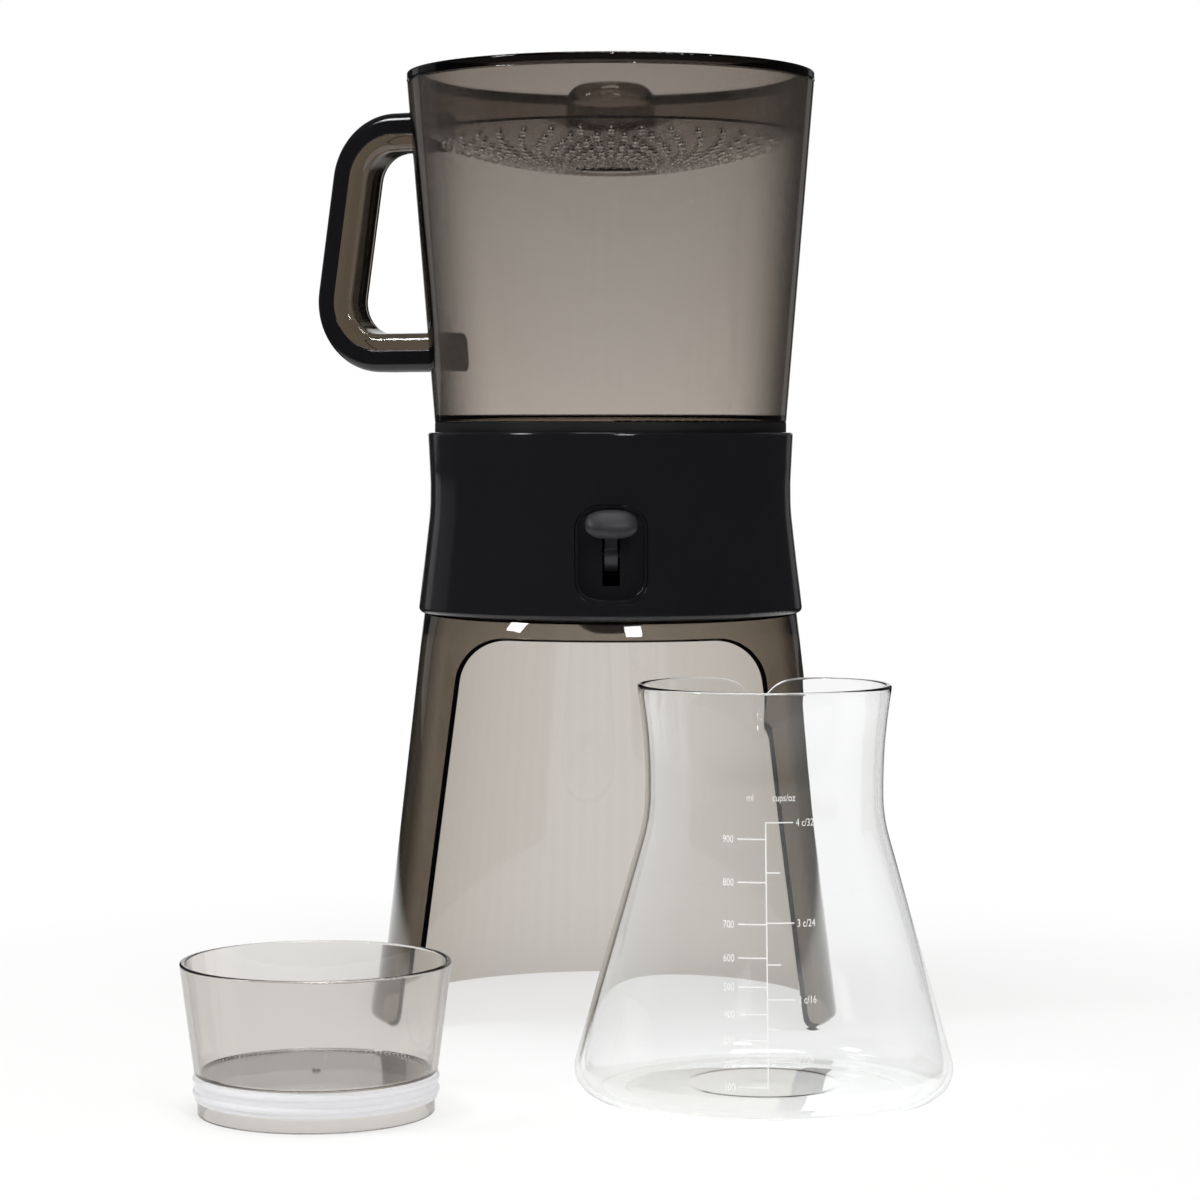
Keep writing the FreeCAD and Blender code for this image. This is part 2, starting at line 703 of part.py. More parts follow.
def filter_gasket():
    """Soft ring that grips the steel rim, with a pull tab."""
    low = filter_level()
    top = low + filter_gasket_height
    outer = drain_opening_radius - free_gap
    inner = filter_mesh_radius + filter_rim_width - filter_gasket_lap
    soft = turned(rounded([(inner, low, 0.6), (outer, low, 0.6), (outer, top, 0.6), (inner, top, 0.6)]))
    front = inner + pull_tab_setback
    back = front + pull_tab_thickness
    tall = pull_tab_height + weld * 2
    tab_z = top + pull_tab_height - tall / 2
    eye_width, eye_height, eye_rounding = pull_eye
    tab = along_y(oblong(pull_tab_width, tall, pull_tab_rounding, tab_z), front, back)
    eye = along_y(oblong(eye_width, eye_height, eye_rounding, tab_z + weld), front - 1, back + 1)
    return soft.fuse(tab.cut(eye)).cut(filter_rim()).removeSplitter()


# ---- drip lid ----

def dish_height(radius, below):
    """Height of the dish at a radius, on its upper face or a distance below that."""
    centre = lid_top_z - dish_depth + dish_sphere_radius
    return centre - math.sqrt((dish_sphere_radius + below) ** 2 - radius ** 2)


def drip_lid():
    """Perforated dish with a flange on the container's rim and a hollow round knob."""
    rest_z = container_top_z + rest_gap
    wall_top = container_top_radius - container_wall - free_gap * 2
    inner_edge = dish_edge_radius - lid_wall
    knob_z = lid_top_z - knob_top_drop
    shoulder = knob_z - knob_rounding
    bend = knob_rounding * 0.3
    under = knob_base_radius - lid_wall
    under_shoulder = knob_shoulder_radius - lid_wall

    def dish(start, end, offset):
        half_way = (start + end) / 2
        return (half_way, dish_height(half_way, offset), end, dish_height(end, offset))

    mouth = wall_top - lid_wall
    groove = lid_flange_radius - lid_rim_groove

    def rounding(radius, turn, inward):
        """Rounded edge at the flange's top, up from the basin if inward is 1, down to the side if -1."""
        part = turn * (1 - math.sqrt(0.5))
        below = (radius, lid_top_z - turn)
        middle = (radius + inward * part, lid_top_z - part)
        above = (radius + inward * turn, lid_top_z)
        return (below, middle + above) if inward > 0 else (above, middle + below)

    body = turned(curve(
        (0, knob_z), (knob_top_radius, knob_z),
        (knob_shoulder_radius - bend, knob_z - bend, knob_shoulder_radius, shoulder),
        (knob_base_radius, dish_height(knob_base_radius, 0)), dish(knob_base_radius, inner_edge, 0),
        *rounding(mouth, lid_mouth_rounding, 1),
        *rounding(lid_flange_radius, lid_flange_rounding, -1),
        (lid_flange_radius, rest_z + lid_rim_gap), (groove, rest_z + lid_rim_gap),
        (groove, rest_z), (wall_top, rest_z),
        (dish_edge_radius, dish_height(dish_edge_radius, lid_wall)),
        dish(dish_edge_radius, under, lid_wall), (under_shoulder, shoulder),
        (under_shoulder - bend, knob_z - lid_wall - bend, knob_top_radius - 1, knob_z - lid_wall),
        (0, knob_z - lid_wall)))
    holes = []
    for row in range(hole_rings):
        radius = hole_outer_ring * hole_ring_ratio ** row
        low = dish_height(radius, lid_wall) - 3
        drill = Part.makeCylinder(hole_radius, lid_wall + 6, FreeCAD.Vector(radius, 0, low))
        for index in range(holes_per_ring):
            angle = (index + row % 2 / 2) * 360 / holes_per_ring
            holes.append(drill.rotated(ORIGIN, UP, angle))
    return body.cut(holes)


# ---- carafe ----

def carafe_side(inset):
    """Corners of the carafe's outline from the middle of its floor to the rim, drawn in by an inset."""
    lean = inset * math.sqrt(1 + carafe_slope ** 2)
    heel = carafe_heel_corner - lean - carafe_slope * inset
    neck = carafe_neck_radius - inset
    neck_z = (carafe_heel_corner - lean - neck) / carafe_slope
    return [(0, inset, 0), (heel, inset, carafe_heel_radius - inset),
            (neck, neck_z, carafe_neck_bend + inset), (neck, carafe_flare_height, carafe_flare_bend)]


def carafe_glass():
    outer = carafe_side(0) + [(carafe_rim_radius, carafe_height, carafe_wall * 0.4)]
    inner = [(carafe_rim_radius - carafe_wall, carafe_height, carafe_wall * 0.4)]
    inner += reversed(carafe_side(carafe_wall))
    glass = turned(rounded(outer + inner))
    # a V with a rounded throat that runs into the rim over rounded shoulders
    above = carafe_height + fit_gap
    shoulder = (spout_half_width, above, spout_shoulder_radius)
    far = spout_half_width + spout_shoulder_radius
    side = [(far, above + far, 0), (far, above, 0), shoulder]
    throat = (0, carafe_height - spout_apex, spout_throat_radius)
    notch = side + [throat] + [(-u, v, r) for u, v, r in reversed(side)]
    dip = along_y(rounded(notch), 0, carafe_rim_radius * 2).rotated(ORIGIN, UP, spout_angle - 90)
    return glass.cut(dip).translated(FreeCAD.Vector(carafe_x, carafe_y, 0))


# ---- stopper cup ----

def stopper_cup():
    floor_top = cup_skirt_height
    inner_floor = cup_skirt_radius - cup_wall
    nub_z = floor_top + gate_mark_height
    cup = turned(rounded([
        (inner_floor, 0, 0.4), (cup_skirt_radius, 0, 0.4), (cup_skirt_radius, cup_skirt_height, 0),
        (cup_shoulder_radius, cup_skirt_height, 0.4), (cup_rim_radius, cup_height, 0.8),
        (cup_rim_radius - cup_wall, cup_height, 0.8), (cup_shoulder_radius - cup_wall, floor_top, 1.5),
        (gate_mark_radius, floor_top, 0), (gate_mark_radius, nub_z, 0.4), (0, nub_z, 0),
        (0, floor_top - cup_floor, 0), (inner_floor, floor_top - cup_floor, 0)]))
    return cup.translated(FreeCAD.Vector(cup_x, cup_y, 0))


def stopper_seal():
    """Soft ring round the cup's skirt with two ridges that grip the carafe's mouth."""
    base = cup_skirt_radius + seal_thickness
    steps = [(cup_skirt_radius, seal_bottom), (base, seal_bottom)]
    for height in seal_ridge_heights:
        steps.append((base, height - 1.1))
        steps.append((base + seal_ridge, height, base, height + 1.1))
    top = cup_skirt_height - fit_gap
    seal = turned(curve(*steps, (base, top), (cup_skirt_radius, top)))
    return seal.translated(FreeCAD.Vector(cup_x, cup_y, 0))


# ---- the whole set ----

PIECES = [
    stand_shell, base_collar, brew_base, base_screws, bottom_cover, drip_funnel, valve_seat,
    switch_plate, pivot_pin, detent_leaf, switch_lever, switch_pad, crank_pin, lifter_yoke, valve_stem,
    valve_plug, stem_clip, container_gasket, brew_container, handle_core, handle_strip, filter_mesh,
    filter_rim, filter_gasket, drip_lid, carafe_glass, stopper_cup, stopper_seal]

heel_lean = carafe_slope + math.sqrt(1 + carafe_slope ** 2) - 1
widest_carafe = carafe_heel_corner - carafe_heel_radius * heel_lean
ground_x = (cup_x - cup_rim_radius, carafe_x + widest_carafe)
ground_y = (cup_y - cup_rim_radius, foot_radius)
to_origin = FreeCAD.Vector(-sum(ground_x) / 2, -sum(ground_y) / 2, 0)

os.makedirs("parts", exist_ok=True)
for piece in PIECES:
    solid = piece().translated(to_origin)
    solid.exportStep("parts/" + piece.__name__ + ".step")
    print(piece.__name__, solid.isValid(), len(solid.Solids), round(solid.Volume, 1))
print("stand axis at", round(to_origin.x, 3), round(to_origin.y, 3))
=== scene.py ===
import bmesh
import bpy
import math
from mathutils import Matrix, Vector


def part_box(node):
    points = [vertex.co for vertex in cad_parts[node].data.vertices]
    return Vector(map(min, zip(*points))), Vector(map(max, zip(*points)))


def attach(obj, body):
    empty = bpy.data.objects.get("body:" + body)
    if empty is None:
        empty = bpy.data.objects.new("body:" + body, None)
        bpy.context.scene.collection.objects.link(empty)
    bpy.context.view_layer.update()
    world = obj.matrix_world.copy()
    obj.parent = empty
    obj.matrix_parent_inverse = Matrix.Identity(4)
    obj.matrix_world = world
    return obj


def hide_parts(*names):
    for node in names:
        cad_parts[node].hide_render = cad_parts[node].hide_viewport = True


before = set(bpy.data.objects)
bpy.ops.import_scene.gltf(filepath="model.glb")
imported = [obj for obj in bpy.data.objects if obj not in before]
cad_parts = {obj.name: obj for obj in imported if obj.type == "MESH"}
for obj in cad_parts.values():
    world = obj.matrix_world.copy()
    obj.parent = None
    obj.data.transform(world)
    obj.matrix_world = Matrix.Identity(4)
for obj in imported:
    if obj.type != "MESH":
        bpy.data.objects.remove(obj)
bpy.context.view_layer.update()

# ---- camera ----
# A long lens stands in front of the stand, about level with the collar, and looks slightly down at the
# whole set. Its place is kept from the middle of the collar, which is the stand's own axis.
collar_low, collar_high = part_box("base_collar")
stand_middle = (collar_low + collar_high) / 2
camera_distance = 1.421
camera_left = 0.0044
camera_height = 0.2395
camera_dip = 2.77

camera_data = bpy.data.cameras.new("camera")
camera_data.lens = 102.3
camera_data.sensor_width = 36.0
camera = bpy.data.objects.new("camera", camera_data)
camera.location = (stand_middle.x - camera_left, stand_middle.y - camera_distance, camera_height)
camera.rotation_euler = (math.radians(90 - camera_dip), 0, 0)
bpy.context.collection.objects.link(camera)
bpy.context.scene.camera = camera


# ---- studio ----
# A pale table runs into a white backdrop behind the set. The rest of the room is dark, so gloss plastic
# stays dark but for three faint strips of light, and two softboxes and a wide one overhead light the set.
room_light = 0.5              # what the room gives to matt surfaces, where the backdrop is 1
dark_room = 0.02              # what gloss surfaces see of the room outside the backdrop
behind_camera = 0.55          # what clear surfaces see of the room on the camera's side
camera_side = (-0.25, 0.05)   # headings along Y between which the room rises from there to full
backdrop_edges = (9, 14)      # degrees to each side at which the backdrop ends
strips = ((-63, -45, 0.10), (-41, -32, 0.24), (22, 31, 0.16))
table_size = 12.0
table_front = (-0.9, -0.4)    # places along Y between which the table rises in the same way
table_fade = (0.5, 0.9)       # distances at which the table starts and ends to darken in gloss
table_run_out = (0.18, 0.5)   # and to turn from matt white into the backdrop's own white
table_near_glow = 0.64        # share of that white up to the first of them
lamp_aim = Vector((0, 0, 0.2))


def linear(colour):
    """An sRGB hex colour as the linear values that a shader takes."""
    parts = [int(colour[place:place + 2], 16) / 255 for place in (1, 3, 5)]
    return tuple(c / 12.92 if c <= 0.04045 else ((c + 0.055) / 1.055) ** 2.4 for c in parts) + (1.0,)


def add(tree, kind, inputs=None, **settings):
    """Adds a node with its settings. Each input gets a value, or a link from another node's socket."""
    made = tree.nodes.new(kind)
    for name, value in settings.items():
        setattr(made, name, value)
    for name, value in (inputs or {}).items():
        if isinstance(value, bpy.types.NodeSocket):
            tree.links.new(value, made.inputs[name])
        else:
            made.inputs[name].default_value = value
    return made


def seen_clearly(tree, ray):
    """1 for the camera's own rays and for those that went through something clear."""
    either = {0: ray.outputs["Is Camera Ray"], 1: ray.outputs["Is Transmission Ray"]}
    return add(tree, "ShaderNodeMath", either, operation="MAXIMUM").outputs[0]


def dimmed_behind(tree, ray, along, span):
    """White for the camera's own rays. Clear surfaces see it dimmer on the camera's side of a span of Y."""
    ahead = add(tree, "ShaderNodeMapRange", {"Value": along, "From Min": span[0], "From Max": span[1],
                                             "To Min": behind_camera, "To Max": 1.0})
    return add(tree, "ShaderNodeMath", {0: ahead.outputs["Result"], 1: ray.outputs["Is Camera Ray"]},
               operation="MAXIMUM").outputs[0]


def softbox(name, azimuth, elevation, distance, size, power):
    """A rectangular lamp that faces the set from an azimuth right of the camera's side."""
    data = bpy.data.lights.new(name, "AREA")
    data.shape = "RECTANGLE"
    data.size, data.size_y = size
    data.energy = power
    turn, rise = math.radians(azimuth), math.radians(elevation)
    away = Vector((math.sin(turn) * math.cos(rise), -math.cos(turn) * math.cos(rise), math.sin(rise)))
    lamp = bpy.data.objects.new(name, data)
    lamp.location = lamp_aim + away * distance
    lamp.rotation_euler = away.to_track_quat("Z", "Y").to_euler()
    lamp.visible_camera = False
    bpy.context.collection.objects.link(lamp)


softbox("softbox_left", -69.5, 38, 1.3, (0.22, 0.30), 4.5)
softbox("softbox_right", 17, 40, 1.5, (0.24, 0.30), 5.0)
softbox("softbox_overhead", 0, 88, 1.8, (0.8, 0.65), 11.0)

world = bpy.data.worlds.new("studio")
bpy.context.scene.world = world
world.use_nodes = True
room = world.node_tree
room.nodes.clear()
ray = add(room, "ShaderNodeLightPath")
heading = add(room, "ShaderNodeSeparateXYZ", {0: add(room, "ShaderNodeTexCoord").outputs["Generated"]})
turn = add(room, "ShaderNodeMath", {0: heading.outputs["X"], 1: heading.outputs["Y"]},
           operation="ARCTAN2")
place = add(room, "ShaderNodeMapRange", {"Value": turn.outputs[0], "From Min": -math.pi,
                                         "From Max": math.pi})
around = add(room, "ShaderNodeValToRGB", {0: place.outputs["Result"]})
ends = around.color_ramp.elements
ends[0].color = ends[1].color = (dark_room, dark_room, dark_room, 1)
inner, outer = backdrop_edges
stops = [(-outer, dark_room), (-inner, 1), (inner, 1), (outer, dark_room)]
for start, end, glow in strips:
    stops += [(start - 2, dark_room), (start, glow), (end, glow), (end + 2, dark_room)]
for angle, glow in sorted(stops):
    ends.new((angle + 180) / 360).color = (glow, glow, glow, 1)
on_gloss = add(room, "ShaderNodeMix", {"Factor": ray.outputs["Is Glossy Ray"], "A": room_light,
                                       "B": around.outputs["Color"]})
level = add(room, "ShaderNodeMix", {"Factor": seen_clearly(room, ray), "A": on_gloss.outputs["Result"],
                                    "B": dimmed_behind(room, ray, heading.outputs["Y"], camera_side)})
backdrop = add(room, "ShaderNodeBackground", {"Color": (1, 1, 1, 1), "Strength": level.outputs["Result"]})
add(room, "ShaderNodeOutputWorld", {"Surface": backdrop.outputs[0]})


def start_material(name):
    """A material with an empty tree."""
    material = bpy.data.materials.new(name)
    material.use_nodes = True
    material.node_tree.nodes.clear()
    return material, material.node_tree


def roughness(tree, noise, low, high):
    """Roughness that a noise moves between two values."""
    return add(tree, "ShaderNodeMapRange", {"Value": noise.outputs["Fac"], "From Min": 0.3, "From Max": 0.7,
                                            "To Min": low, "To Max": high}).outputs["Result"]


def height_in(tree, place):
    return add(tree, "ShaderNodeSeparateXYZ", {0: place}).outputs["Z"]


def finish_mesh(bm, name, material, smooth=True):
    """Closes a bmesh as an object at the origin, shaded smooth, with one material."""
    mesh = bpy.data.meshes.new(name)
    bm.to_mesh(mesh)
    bm.free()
    for polygon in mesh.polygons:
        polygon.use_smooth = smooth
    mesh.materials.append(material)
    piece = bpy.data.objects.new(name, mesh)
    bpy.context.collection.objects.link(piece)
    return piece


def rounded_chain(corners, arc_steps, longest):
    """Points along a polygon (r, z, radius) whose corners are arcs and whose straight runs are divided."""
    chain = []
    for index, (r, z, radius) in enumerate(corners):
        here = Vector((r, z))
        if radius == 0:
            bend = [here]
        else:
            back = (Vector(corners[index - 1][:2]) - here).normalized()
            ahead = (Vector(corners[index + 1][:2]) - here).normalized()
            half = back.angle(ahead) / 2
            centre = here + (back + ahead).normalized() * (radius / math.sin(half))
            entry = here + back * (radius / math.tan(half)) - centre
            turn = math.pi - 2 * half
            if entry.cross(here + ahead * (radius / math.tan(half)) - centre) < 0:
                turn = -turn
            bend = [centre + Matrix.Rotation(turn * step / arc_steps, 2) @ entry
                    for step in range(arc_steps + 1)]
        if chain:
            run = (bend[0] - chain[-1]).length
            count = math.ceil(run / longest)
            chain += [chain[-1].lerp(bend[0], step / count) for step in range(1, count)]
        chain += bend
    return chain


def white_table():
    """Matt white table that keeps the set's shadow and runs out into the white of the backdrop."""
    material, tree = start_material("white_table")
    place = add(tree, "ShaderNodeTexCoord").outputs["Object"]
    ray = add(tree, "ShaderNodeLightPath")
    seen = seen_clearly(tree, ray)
    shown = add(tree, "ShaderNodeMath", {0: seen, 1: ray.outputs["Is Glossy Ray"]}, operation="MAXIMUM")
    far = add(tree, "ShaderNodeVectorMath", {0: place}, operation="LENGTH")
    dim = add(tree, "ShaderNodeMapRange",
              {"Value": far.outputs["Value"], "From Min": table_fade[0], "From Max": table_fade[1],
               "To Min": 1.0, "To Max": dark_room}, interpolation_type="SMOOTHSTEP")
    run_out = add(tree, "ShaderNodeMapRange",
                  {"Value": far.outputs["Value"], "From Min": table_run_out[0], "From Max": table_run_out[1],
                   "To Min": table_near_glow, "To Max": 1.0}, interpolation_type="SMOOTHSTEP")
    share = add(tree, "ShaderNodeMath", {0: run_out.outputs["Result"], 1: shown.outputs[0]},
                operation="MULTIPLY")
    along = add(tree, "ShaderNodeSeparateXYZ", {0: place}).outputs["Y"]
    bright = add(tree, "ShaderNodeMix", {"Factor": seen, "A": dim.outputs["Result"],
                                         "B": dimmed_behind(tree, ray, along, table_front)})
    glow = add(tree, "ShaderNodeEmission", {"Strength": bright.outputs["Result"]})
    matt = add(tree, "ShaderNodeBsdfDiffuse", {"Color": linear("#f6f6f5")})
    both = add(tree, "ShaderNodeMixShader", {0: share.outputs[0], 1: matt.outputs[0], 2: glow.outputs[0]})
    add(tree, "ShaderNodeOutputMaterial", {"Surface": both.outputs[0]})
    return material


table_bm = bmesh.new()
bmesh.ops.create_grid(table_bm, x_segments=1, y_segments=1, size=table_size / 2)
table = finish_mesh(table_bm, "table", white_table(), smooth=False)

# light goes through as many as eight tinted walls on its way to the backdrop
cycles = bpy.context.scene.cycles
cycles.max_bounces = 32
cycles.transmission_bounces = 32
cycles.transparent_max_bounces = 32
bpy.context.scene.view_settings.view_transform = "Standard"


# ---- stand ----
# The stand is one moulding of smoke-tinted styrene acrylonitrile, a clear, hard and glossy plastic. Light
# comes out browner the more plastic it crosses, and almost black where it runs along a wall. Where a face is
# seen edge on, its colour is also darkened by painted shade.
smoke_per_metre = (200, 222, 251)   # red, green and blue light lost per metre of the plastic
styrene_ior = 1.56
mould_gloss = (0.02, 0.05)          # roughness of a polished mould's faces
mould_waves = 0.00003               # depth in metres of their faint waves
shadow_tint = (0.94, 0.94, 0.94, 1)
painted_edge_shade = (0.56, 0.86, 0.1)    # painted edge shade: facing at which a side starts to darken and is dark, and its shade
shoulder_start = 0.1505             # height from which the stand's shoulder rolls in under the collar
shoulder_roll = 0.04                # and the radius of the roll


def clear_moulding(name, loss_per_metre, ior, gloss, wave_depth, dark_edge, deepen=None, roll=None):
    """A tinted clear plastic: gloss faces with the faint waves of its mould, and its colour all through.

    Painted shade: where a face is seen edge on, its colour darkens, standing in for the dark sides of the
    room that it bends into view.
    Where the plastic looks darker than its solid gives, deepen makes a factor from the place that darkens the
    colour further, which is painted shade at the lid's flange and the cup's skirt. A roll makes the height of
    a soft rounding from the place."""
    material, tree = start_material(name)
    place = add(tree, "ShaderNodeTexCoord").outputs["Object"]
    waves = add(tree, "ShaderNodeTexNoise", {"Vector": place, "Scale": 1000 / 24, "Detail": 2.0})
    relief = add(tree, "ShaderNodeBump", {"Height": waves.outputs["Fac"], "Distance": wave_depth,
                                          "Strength": 1.0})
    if roll:
        relief = add(tree, "ShaderNodeBump", {"Height": roll(tree, place), "Distance": 1.0, "Strength": 1.0,
                                              "Normal": relief.outputs["Normal"]})
    haze = add(tree, "ShaderNodeTexNoise", {"Vector": place, "Scale": 1000 / 9, "Detail": 4.0})
    # painted shade: the colour darkens as a face turns edge on
    edge_on = add(tree, "ShaderNodeLayerWeight", {"Blend": 0.5}).outputs["Facing"]
    clear = add(tree, "ShaderNodeMapRange",
                {"Value": edge_on, "From Min": dark_edge[0], "From Max": dark_edge[1], "To Min": 1.0,
                 "To Max": dark_edge[2]}, interpolation_type="SMOOTHSTEP")
    shade = clear.outputs["Result"]
    if deepen:
        shade = add(tree, "ShaderNodeMath", {0: shade, 1: deepen(tree, place)},
                    operation="MULTIPLY").outputs[0]
    face = add(tree, "ShaderNodeBsdfPrincipled",
               {"Base Color": shade, "Roughness": roughness(tree, haze, *gloss), "IOR": ior,
                "Transmission Weight": 1.0, "Normal": relief.outputs["Normal"]})
    lit_through = add(tree, "ShaderNodeBsdfTransparent", {"Color": shadow_tint})
    shadow = add(tree, "ShaderNodeLightPath").outputs["Is Shadow Ray"]
    surface = add(tree, "ShaderNodeMixShader", {0: shadow, 1: face.outputs[0], 2: lit_through.outputs[0]})
    density = max(loss_per_metre) * 1.2
    tint = tuple(1 - loss / density for loss in loss_per_metre) + (1.0,)
    body = add(tree, "ShaderNodeVolumeAbsorption", {"Color": tint, "Density": density})
    add(tree, "ShaderNodeOutputMaterial", {"Surface": surface.outputs[0], "Volume": body.outputs[0]})
    return material


def dress(material, *nodes):
    """Gives a material to CAD nodes."""
    for name in nodes:
        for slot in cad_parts[name].material_slots:
            slot.material = material


def rolled_shoulder(tree, place):
    """Height of a roll that falls away with the square of the way past its start."""
    above = add(tree, "ShaderNodeMath", {0: height_in(tree, place), 1: shoulder_start}, operation="SUBTRACT")
    rise = add(tree, "ShaderNodeMath", {0: above.outputs[0], 1: 0.0}, operation="MAXIMUM").outputs[0]
    square = add(tree, "ShaderNodeMath", {0: rise, 1: rise}, operation="MULTIPLY").outputs[0]
    return add(tree, "ShaderNodeMath", {0: square, 1: -0.5 / shoulder_roll},
               operation="MULTIPLY").outputs[0]


smoke_styrene = clear_moulding("smoke_styrene_moulded", smoke_per_metre, styrene_ior, mould_gloss,
                               mould_waves, painted_edge_shade, roll=rolled_shoulder)
dress(smoke_styrene, "stand_shell")


# ---- collar, nozzle and panel ----
# The collar is gloss black ABS from a polished mould, which leaves a very slight orange peel. The nozzle
# under it and the panel for the switch are mouldings of the same plastic.
def moulded_plastic(name, colour, rough_from, rough_to, grain, grain_depth, edge):
    """An opaque moulding: a colour, grain of a size and depth in metres, and edges rounded by the mould."""
    material, tree = start_material(name)
    place = add(tree, "ShaderNodeTexCoord").outputs["Object"]
    blotch = add(tree, "ShaderNodeTexNoise", {"Vector": place, "Scale": 1000 / 14, "Detail": 5.0})
    skin = add(tree, "ShaderNodeTexNoise", {"Vector": place, "Scale": 1 / grain, "Detail": 2.0})
    round_edge = add(tree, "ShaderNodeBevel", {"Radius": edge}, samples=4)
    relief = add(tree, "ShaderNodeBump", {"Height": skin.outputs["Fac"], "Distance": grain_depth,
                                          "Strength": 1.0, "Normal": round_edge.outputs["Normal"]})
    paler = tuple(c * 1.15 for c in linear(colour)[:3]) + (1.0,)
    shade = add(tree, "ShaderNodeMixRGB", {0: blotch.outputs["Fac"], 1: linear(colour), 2: paler})
    face = add(tree, "ShaderNodeBsdfPrincipled",
               {"Base Color": shade.outputs[0], "Roughness": roughness(tree, blotch, rough_from, rough_to),
                "IOR": 1.5, "Normal": relief.outputs["Normal"]})
    add(tree, "ShaderNodeOutputMaterial", {"Surface": face.outputs[0]})
    return material


gloss_abs = moulded_plastic("gloss_black_abs", "#18181b", 0.08, 0.13, 0.0018, 0.000004, 0.0006)
dress(gloss_abs, "base_collar", "drip_funnel", "switch_plate")


# ---- hidden base and valve ----
# The base under the container, its cover, and the yoke that lifts the valve are satin black ABS, with a
# finer and deeper grain than the collar.
satin_abs = moulded_plastic("satin_black_abs", "#1c1c1e", 0.32, 0.42, 0.0009, 0.00001, 0.0004)
dress(satin_abs, "brew_base", "bottom_cover", "lifter_yoke")


# ---- switch ----
# The lever is satin black nylon with a finger pad of soft grey rubber moulded over its tip. The pad is a
# flattened oval, drawn from a sphere.
pad_half_sizes = (10.4, 3.95, 6.1)
pad_squareness = 2.5
pad_tilt = 38.0


def oval_pad():
    bm = bmesh.new()
    bmesh.ops.create_uvsphere(bm, u_segments=96, v_segments=48, radius=1.0)
    for vert in bm.verts:
        swell = sum(abs(c) ** pad_squareness for c in vert.co) ** (-1 / pad_squareness)
        vert.co = Vector(c * swell * half / 1000 for c, half in zip(vert.co, pad_half_sizes))
    tilt = Matrix.Rotation(math.radians(-pad_tilt), 4, "X")
    pad_low, pad_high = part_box("switch_pad")
    bmesh.ops.transform(bm, matrix=Matrix.Translation((pad_low + pad_high) / 2) @ tilt, verts=bm.verts)
    return bm


nylon = moulded_plastic("satin_black_nylon", "#242427", 0.28, 0.38, 0.0007, 0.000012, 0.0006)
dress(nylon, "switch_lever")
soft_rubber = moulded_plastic("soft_grey_rubber", "#29292d", 0.42, 0.55, 0.0005, 0.00002, 0.0008)
pad = finish_mesh(oval_pad(), "finger_pad", soft_rubber)
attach(pad, "lever")
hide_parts("switch_pad")


# ---- seals ----
# The gaskets and the valve's plug and seat are black silicone, which is more matt than the mouldings that
# it seals.
silicone = moulded_plastic("black_silicone", "#161618", 0.4, 0.55, 0.0006, 0.00001, 0.0004)
dress(silicone, "container_gasket", "filter_gasket", "valve_seat", "valve_plug")


# ---- steel ----
# The filter, stem and screws are stainless steel with fine lines along them. The pins and the spring leaf
# behind the switch are blackened spring steel.
def brushed_steel(name, colour):
    material, tree = start_material(name)
    place = add(tree, "ShaderNodeTexCoord").outputs["Object"]
    lines = add(tree, "ShaderNodeMapping", {"Vector": place, "Scale": (60, 2500, 2500)})
    grain = add(tree, "ShaderNodeTexNoise", {"Vector": lines.outputs[0], "Scale": 1.0, "Detail": 3.0})
    relief = add(tree, "ShaderNodeBump", {"Height": grain.outputs["Fac"], "Distance": 0.000003,
                                          "Strength": 1.0})
    face = add(tree, "ShaderNodeBsdfPrincipled",
               {"Base Color": linear(colour), "Metallic": 1.0,
                "Roughness": roughness(tree, grain, 0.18, 0.32), "Normal": relief.outputs["Normal"]})
    add(tree, "ShaderNodeOutputMaterial", {"Surface": face.outputs[0]})
    return material


steel = brushed_steel("brushed_stainless_steel", "#c8c8ca")
dress(steel, "base_screws", "valve_stem", "stem_clip", "filter_rim", "filter_mesh")
dress(brushed_steel("blackened_spring_steel", "#2c2c2e"), "pivot_pin", "crank_pin", "detent_leaf")


# ---- container, handle and drip lid ----
# The container is a smoke plastic with a little less tint than the stand, and the drip lid has more. The
# inner half of the handle is a thick bar, so its plastic has little, and its outer half is gloss black.
deep_smoke_per_metre = (156, 179, 204)
# painted edge shade of the container
container_edge = (0.18, 0.85, 0.05)
lid_smoke_per_metre = (270, 305, 335)
open_edge = (0.9, 1.0, 0.5)         # painted edge shade of the lid, which is seen through the container, so its sides darken less
container_rim_share = 0.72          # share of the colour at the container's foot that is left at its rim
flange_inner = 0.079                # radius past which the lid's top is its flange
flange_depth = 0.0045
flange_share = 0.03                 # painted shade: share of its colour that the flange keeps, as next to no light comes out of it
container_low, container_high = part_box("brew_container")
lid_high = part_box("drip_lid")[1]


# The container's colour darkens from its foot towards its rim.
def thicker_upwards(tree, place):
    return add(tree, "ShaderNodeMapRange",
               {"Value": height_in(tree, place), "From Min": container_low.z, "From Max": container_high.z,
                "To Min": 1.0, "To Max": container_rim_share}).outputs["Result"]


def black_flange(tree, place):
    """Painted shade: the flange's colour is made almost black, since it passes light along its whole width
    and next to none comes out.
    """
    level = add(tree, "ShaderNodeVectorMath", {0: place, 1: (1, 1, 0)}, operation="MULTIPLY")
    axis = (stand_middle.x, stand_middle.y, 0)
    out = add(tree, "ShaderNodeVectorMath", {0: level.outputs[0], 1: axis}, operation="DISTANCE")
    wide = add(tree, "ShaderNodeMath", {0: out.outputs["Value"], 1: flange_inner}, operation="GREATER_THAN")
    high = add(tree, "ShaderNodeMath", {0: height_in(tree, place), 1: lid_high.z - flange_depth},
               operation="GREATER_THAN")
    both = add(tree, "ShaderNodeMath", {0: wide.outputs[0], 1: high.outputs[0]}, operation="MULTIPLY")
    return add(tree, "ShaderNodeMapRange", {"Value": both.outputs[0], "To Min": 1.0,
                                            "To Max": flange_share}).outputs["Result"]


